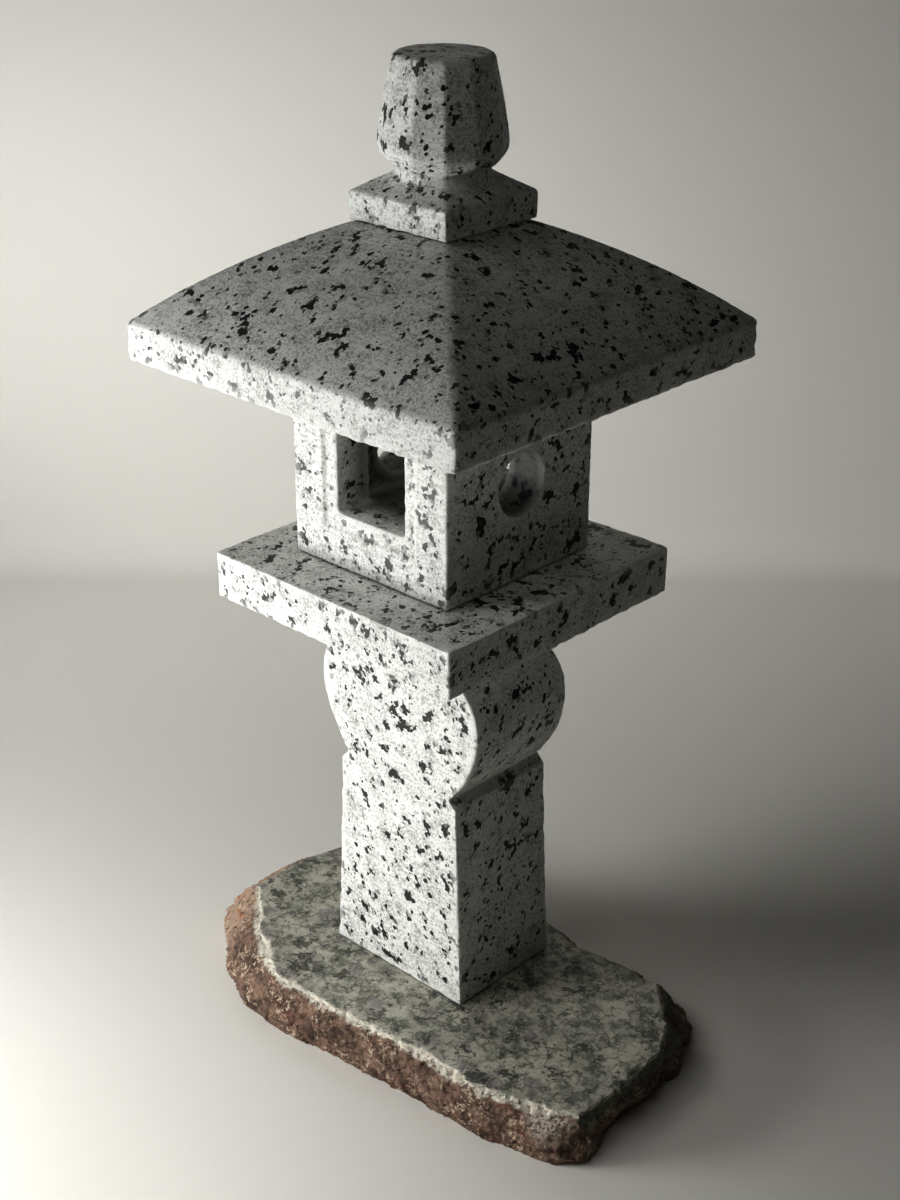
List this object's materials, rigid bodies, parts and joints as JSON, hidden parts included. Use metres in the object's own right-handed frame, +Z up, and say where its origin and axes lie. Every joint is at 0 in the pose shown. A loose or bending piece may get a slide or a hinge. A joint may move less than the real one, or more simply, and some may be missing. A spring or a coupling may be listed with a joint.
{
  "type": "stone lantern",
  "caption": "Tabletop stone lantern: rolled post on a rough flagstone, square platform, hollow firebox with square and round windows, hipped roof and lift-off finial.",
  "frame": {"origin": "on the plane that the flagstone stands on, under the lantern's vertical axis", "axes": "+Z up along the lantern's axis, X along the flagstone's length and through the round windows, Y through the square windows; the face towards -Y is the front"},
  "size_m": [0.2732, 0.199, 0.4831],
  "materials": {
    "granite": "sawn and lightly honed, white with black flecks",
    "fieldstone": "dressed top, rough split sides with rust",
    "pin_steel": "plain stainless rod"
  },
  "bodies": {
    "stand": {"base_slab": "fieldstone", "post": "granite", "slab_pin_left": "pin_steel", "slab_pin_right": "pin_steel", "head_pin_left": "pin_steel", "head_pin_right": "pin_steel"},
    "platform": {"platform": "granite", "seat_pin_left": "pin_steel", "seat_pin_right": "pin_steel"},
    "firebox": {"firebox": "granite"},
    "roof": {"roof": "granite"},
    "finial": {"finial": "granite"}
  },
  "joints": [
    {"name": "platform_lift", "type": "slide", "parent": "stand", "child": "platform", "axis": [0, 0, 1], "range_m": [0, 0.05]},
    {"name": "firebox_lift", "type": "slide", "parent": "platform", "child": "firebox", "axis": [0, 0, 1], "range_m": [0, 0.05]},
    {"name": "roof_lift", "type": "slide", "parent": "firebox", "child": "roof", "axis": [0, 0, 1], "range_m": [0, 0.06]},
    {"name": "finial_lift", "type": "slide", "parent": "roof", "child": "finial", "axis": [0, 0, 1], "range_m": [0, 0.06]}
  ]
}
